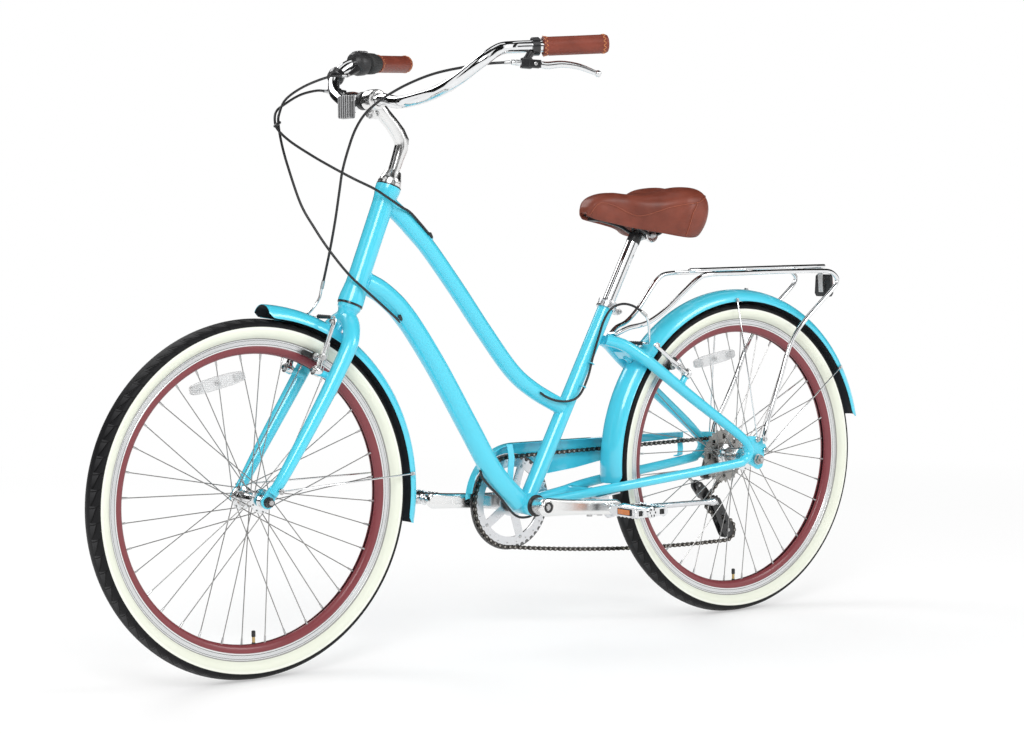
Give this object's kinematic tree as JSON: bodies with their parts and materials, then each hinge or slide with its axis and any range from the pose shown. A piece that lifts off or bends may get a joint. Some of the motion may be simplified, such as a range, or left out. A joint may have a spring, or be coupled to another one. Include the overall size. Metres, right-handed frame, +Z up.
{
  "type": "step-through bicycle",
  "caption": "Step-through hybrid bicycle with swept-back bars, chain guard, mudguards, rear rack, rim brakes, twist shifter, rear derailleur and a side stand.",
  "frame": {"origin": "on the ground below the middle of the bicycle's length, in its middle plane", "axes": "+X towards the front wheel, +Y to the rider's left, +Z up"},
  "size_m": [1.8297, 0.6708, 1.1503],
  "materials": {
    "black_plastic": "satin",
    "brown_leather": "smooth",
    "cable_black": "satin",
    "chain_steel": "oiled",
    "chrome": "polished",
    "clear_lens": "ribbed",
    "grey_steel": "satin",
    "maroon_rim": "gloss",
    "red_lens": "ribbed",
    "satin_alloy": "satin",
    "tube_rubber": "matt",
    "turquoise_paint": "gloss",
    "tyre_rubber": "matt"
  },
  "bodies": {
    "frame_body": {"frame": "turquoise_paint", "seat_clamp": "satin_alloy", "rear_fender": "turquoise_paint", "rear_fender_stay_upper": "chrome", "rear_fender_stay_lower": "chrome", "rear_rack": "chrome", "rack_reflector": "red_lens", "chain_guard": "turquoise_paint", "chain": "chain_steel", "bottom_bracket": "black_plastic", "rear_axle": "grey_steel", "kickstand_bracket": "satin_alloy", "rear_brake_cable": "cable_black", "shift_cable": "cable_black", "steering_cables": "cable_black", "derailleur_hanger": "grey_steel"},
    "kickstand": {"kickstand_leg": "satin_alloy"},
    "rear_brake_left": {"rear_brake_arm_left": "satin_alloy"},
    "rear_brake_right": {"rear_brake_arm_right": "satin_alloy"},
    "derailleur": {"derailleur_body": "black_plastic"},
    "derailleur_arm": {"derailleur_cage": "black_plastic"},
    "upper_pulley": {"guide_pulley": "black_plastic"},
    "lower_pulley": {"tension_pulley": "black_plastic"},
    "post": {"seat_post": "chrome"},
    "saddle": {"saddle_cover": "brown_leather", "saddle_rails": "black_plastic"},
    "fork_body": {"fork": "turquoise_paint", "headset_locknut": "satin_alloy", "stem": "satin_alloy", "handlebar": "chrome", "left_grip": "brown_leather", "right_grip": "brown_leather", "left_lever_clamp": "black_plastic", "right_lever_clamp": "black_plastic", "shifter_housing": "black_plastic", "front_reflector": "clear_lens", "front_fender": "turquoise_paint", "front_fender_stay": "chrome", "front_axle": "grey_steel", "front_brake_cable": "cable_black"},
    "lever_left": {"left_brake_lever": "satin_alloy"},
    "lever_right": {"right_brake_lever": "satin_alloy"},
    "twist_grip": {"shifter_grip": "black_plastic"},
    "front_brake_left": {"front_brake_arm_left": "satin_alloy"},
    "front_brake_right": {"front_brake_arm_right": "satin_alloy"},
    "front_wheel": {"front_tyre": "tyre_rubber", "front_inner_tube": "tube_rubber", "front_rim": "maroon_rim", "front_hub": "satin_alloy"},
    "rear_wheel": {"rear_tyre": "tyre_rubber", "rear_inner_tube": "tube_rubber", "rear_rim": "maroon_rim", "rear_hub": "satin_alloy"},
    "sprockets": {"freewheel": "grey_steel"},
    "cranks": {"crank_spindle": "grey_steel", "right_crank": "satin_alloy", "chainring": "satin_alloy", "left_crank": "satin_alloy"},
    "pedal_left": {"left_pedal": "satin_alloy"},
    "pedal_right": {"right_pedal": "satin_alloy"}
  },
  "joints": [
    {"name": "steering", "type": "hinge", "parent": "frame_body", "child": "fork_body", "pos_m": [0.2965, 0, 0.88], "axis": [-0.376, 0, 0.9266], "range_deg": [-60, 60], "deforming": ["steering_cables"]},
    {"name": "front_wheel_spin", "type": "hinge", "parent": "fork_body", "child": "front_wheel", "pos_m": [0.5963, 0, 0.323], "axis": [0, 1, 0], "continuous": true},
    {"name": "rear_wheel_spin", "type": "hinge", "parent": "frame_body", "child": "rear_wheel", "pos_m": [-0.5625, 0, 0.323], "axis": [0, 1, 0], "continuous": true},
    {"name": "crank_spin", "type": "hinge", "parent": "frame_body", "child": "cranks", "pos_m": [-0.0165, 0, 0.2665], "axis": [0, 1, 0], "continuous": true},
    {"name": "freewheel_spin", "type": "hinge", "parent": "frame_body", "child": "sprockets", "pos_m": [-0.5625, 0, 0.323], "axis": [0, 1, 0], "continuous": true},
    {"name": "right_pedal_spin", "type": "hinge", "parent": "cranks", "child": "pedal_right", "pos_m": [0.153, 0, 0.27954], "axis": [0, 1, 0], "continuous": true},
    {"name": "left_pedal_spin", "type": "hinge", "parent": "cranks", "child": "pedal_left", "pos_m": [-0.186, 0, 0.25346], "axis": [0, 1, 0], "continuous": true},
    {"name": "kickstand_swing", "type": "hinge", "parent": "frame_body", "child": "kickstand", "pos_m": [-0.2065, 0.047, 0.244], "axis": [-0.143, 0.9522, 0.27], "range_deg": [-110, 0]},
    {"name": "left_brake_lever_pull", "type": "hinge", "parent": "fork_body", "child": "lever_left", "pos_m": [0.16326, 0.27212, 1.0948], "axis": [0.4067, 0.9135, 0], "range_deg": [0, 12], "stiffness_Nm_per_rad": 1.5, "springref_deg": -17.19, "deforming": ["front_brake_cable"]},
    {"name": "right_brake_lever_pull", "type": "hinge", "parent": "fork_body", "child": "lever_right", "pos_m": [0.23926, -0.25012, 1.0648], "axis": [-0.4067, 0.9135, 0], "range_deg": [0, 12], "stiffness_Nm_per_rad": 1.5, "springref_deg": -17.19, "deforming": ["rear_brake_cable"]},
    {"name": "front_brake_arm_left_swing", "type": "hinge", "parent": "fork_body", "child": "front_brake_left", "pos_m": [0.48819, 0.049, 0.54984], "axis": [0.9266, 0, 0.376], "range_deg": [0, 5], "deforming": ["front_brake_cable"]},
    {"name": "front_brake_arm_right_swing", "type": "hinge", "parent": "fork_body", "child": "front_brake_right", "pos_m": [0.48819, -0.049, 0.54984], "axis": [-0.9266, 0, -0.376], "range_deg": [0, 5], "deforming": ["front_brake_cable"]},
    {"name": "rear_brake_arm_left_swing", "type": "hinge", "parent": "frame_body", "child": "rear_brake_left", "pos_m": [-0.39085, 0.0485, 0.5051], "axis": [0.5826, 0, -0.8128], "range_deg": [0, 5], "deforming": ["rear_brake_cable"]},
    {"name": "rear_brake_arm_right_swing", "type": "hinge", "parent": "frame_body", "child": "rear_brake_right", "pos_m": [-0.39085, -0.0485, 0.5051], "axis": [-0.5826, 0, 0.8128], "range_deg": [0, 5], "deforming": ["rear_brake_cable"]},
    {"name": "shifter_twist", "type": "hinge", "parent": "fork_body", "child": "twist_grip", "pos_m": [0.1437, -0.2685, 1.127], "axis": [-0.9041, -0.4244, 0.0494], "range_deg": [-66, 66]},
    {"name": "derailleur_shift", "type": "slide", "parent": "frame_body", "child": "derailleur", "axis": [0, 1, 0], "range_m": [-0.0151, 0.0151], "deforming": ["shift_cable", "chain"]},
    {"name": "derailleur_arm_swing", "type": "hinge", "parent": "derailleur", "child": "derailleur_arm", "pos_m": [-0.5505, 0, 0.222], "axis": [0, 1, 0], "range_deg": [-15, 35], "stiffness_Nm_per_rad": 1, "deforming": ["chain"]},
    {"name": "upper_pulley_spin", "type": "hinge", "parent": "derailleur_arm", "child": "upper_pulley", "pos_m": [-0.5505, 0, 0.222], "axis": [0, 1, 0], "continuous": true},
    {"name": "lower_pulley_spin", "type": "hinge", "parent": "derailleur_arm", "child": "lower_pulley", "pos_m": [-0.5825, 0, 0.163], "axis": [0, 1, 0], "continuous": true},
    {"name": "seat_post_height", "type": "slide", "parent": "frame_body", "child": "post", "axis": [-0.4772, 0, 0.8788], "range_m": [-0.06, 0.06]},
    {"name": "saddle_tilt", "type": "hinge", "parent": "post", "child": "saddle", "pos_m": [-0.3195, 0, 0.787], "axis": [0, 1, 0], "range_deg": [-8, 8]}
  ],
  "couplings": [
    {"joint": "freewheel_spin", "follows": "crank_spin", "ratio": 2.4444},
    {"joint": "upper_pulley_spin", "follows": "crank_spin", "ratio": -4},
    {"joint": "lower_pulley_spin", "follows": "crank_spin", "ratio": 4},
    {"joint": "front_brake_arm_left_swing", "follows": "left_brake_lever_pull", "ratio": 0.4},
    {"joint": "front_brake_arm_right_swing", "follows": "left_brake_lever_pull", "ratio": 0.4},
    {"joint": "rear_brake_arm_left_swing", "follows": "right_brake_lever_pull", "ratio": 0.4},
    {"joint": "rear_brake_arm_right_swing", "follows": "right_brake_lever_pull", "ratio": 0.4},
    {"joint": "derailleur_shift", "follows": "shifter_twist", "m_per_rad": 0.01302}
  ]
}
